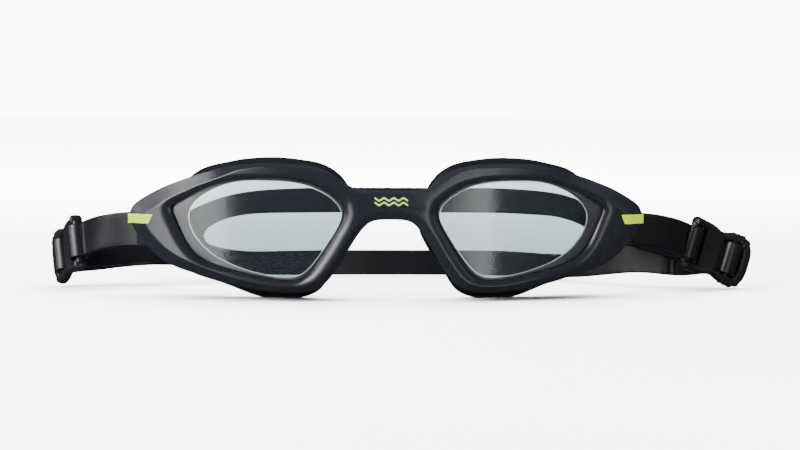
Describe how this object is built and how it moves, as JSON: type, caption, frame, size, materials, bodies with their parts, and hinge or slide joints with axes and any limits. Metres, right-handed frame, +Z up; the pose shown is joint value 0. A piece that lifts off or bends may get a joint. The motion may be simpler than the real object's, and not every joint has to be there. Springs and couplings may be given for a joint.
{
  "type": "swim goggles",
  "caption": "One-piece wrap frame with two tinted lenses, soft eye seals, lime wing inlays, slide buckles and a split silicone head strap.",
  "frame": {"origin": "middle of the whole part's footprint, on the surface it stands on", "axes": "the lenses look along -Y, +Z up, +X to the wearer's left hand side as the goggles are worn, which is the picture's right"},
  "size_m": [0.2356, 0.108, 0.0442],
  "materials": {
    "frame_shell": "satin moulded, dark blue grey",
    "lens_clear": "clear polycarbonate with a light grey tint",
    "carrier_shell": "satin moulded",
    "seal_silicone": "soft matt silicone",
    "inlay_lime": "semi-gloss lime",
    "strap_silicone": "smooth satin silicone",
    "buckle_shell": "satin moulded"
  },
  "bodies": {
    "goggle_frame": {"frame": "frame_shell", "lens_left": "lens_clear", "lens_right": "lens_clear", "seal_carrier_left": "carrier_shell", "seal_carrier_right": "carrier_shell", "seal_left": "seal_silicone", "seal_right": "seal_silicone", "inlay_left": "inlay_lime", "inlay_right": "inlay_lime", "head_strap": "strap_silicone"},
    "arm_left": {"side_strap_left": "strap_silicone"},
    "arm_right": {"side_strap_right": "strap_silicone"},
    "clasp_left": {"buckle_left": "buckle_shell"},
    "clasp_right": {"buckle_right": "buckle_shell"},
    "tail_left": {"strap_tail_left": "strap_silicone"},
    "tail_right": {"strap_tail_right": "strap_silicone"}
  },
  "joints": [
    {"name": "strap_swing_left", "type": "hinge", "parent": "goggle_frame", "child": "arm_left", "pos_m": [-0.08262, -0.02734, 0.0213], "axis": [0, 0, -1], "range_deg": [-14, 22], "deforming": ["head_strap"]},
    {"name": "strap_swing_right", "type": "hinge", "parent": "goggle_frame", "child": "arm_right", "pos_m": [0.06838, -0.02734, 0.0213], "axis": [0, 0, 1], "range_deg": [-10, 28], "deforming": ["head_strap"]},
    {"name": "buckle_turn_left", "type": "hinge", "parent": "arm_left", "child": "clasp_left", "pos_m": [-0.10675, -0.00709, 0.0158], "axis": [0.1214, -0.2932, -0.9483], "range_deg": [-18, 25], "deforming": ["head_strap"]},
    {"name": "buckle_turn_right", "type": "hinge", "parent": "arm_right", "child": "clasp_right", "pos_m": [0.09449, -0.00972, 0.0158], "axis": [0.31, 0.1445, 0.9397], "range_deg": [-18, 25], "deforming": ["head_strap"]},
    {"name": "tail_slide_left", "type": "slide", "parent": "clasp_left", "child": "tail_left", "axis": [0.9873, 0.1346, 0.0848], "range_m": [0, 0.015], "deforming": ["head_strap"]},
    {"name": "tail_slide_right", "type": "slide", "parent": "clasp_right", "child": "tail_right", "axis": [-0.9345, 0.2283, 0.2731], "range_m": [0, 0.015], "deforming": ["head_strap"]}
  ]
}
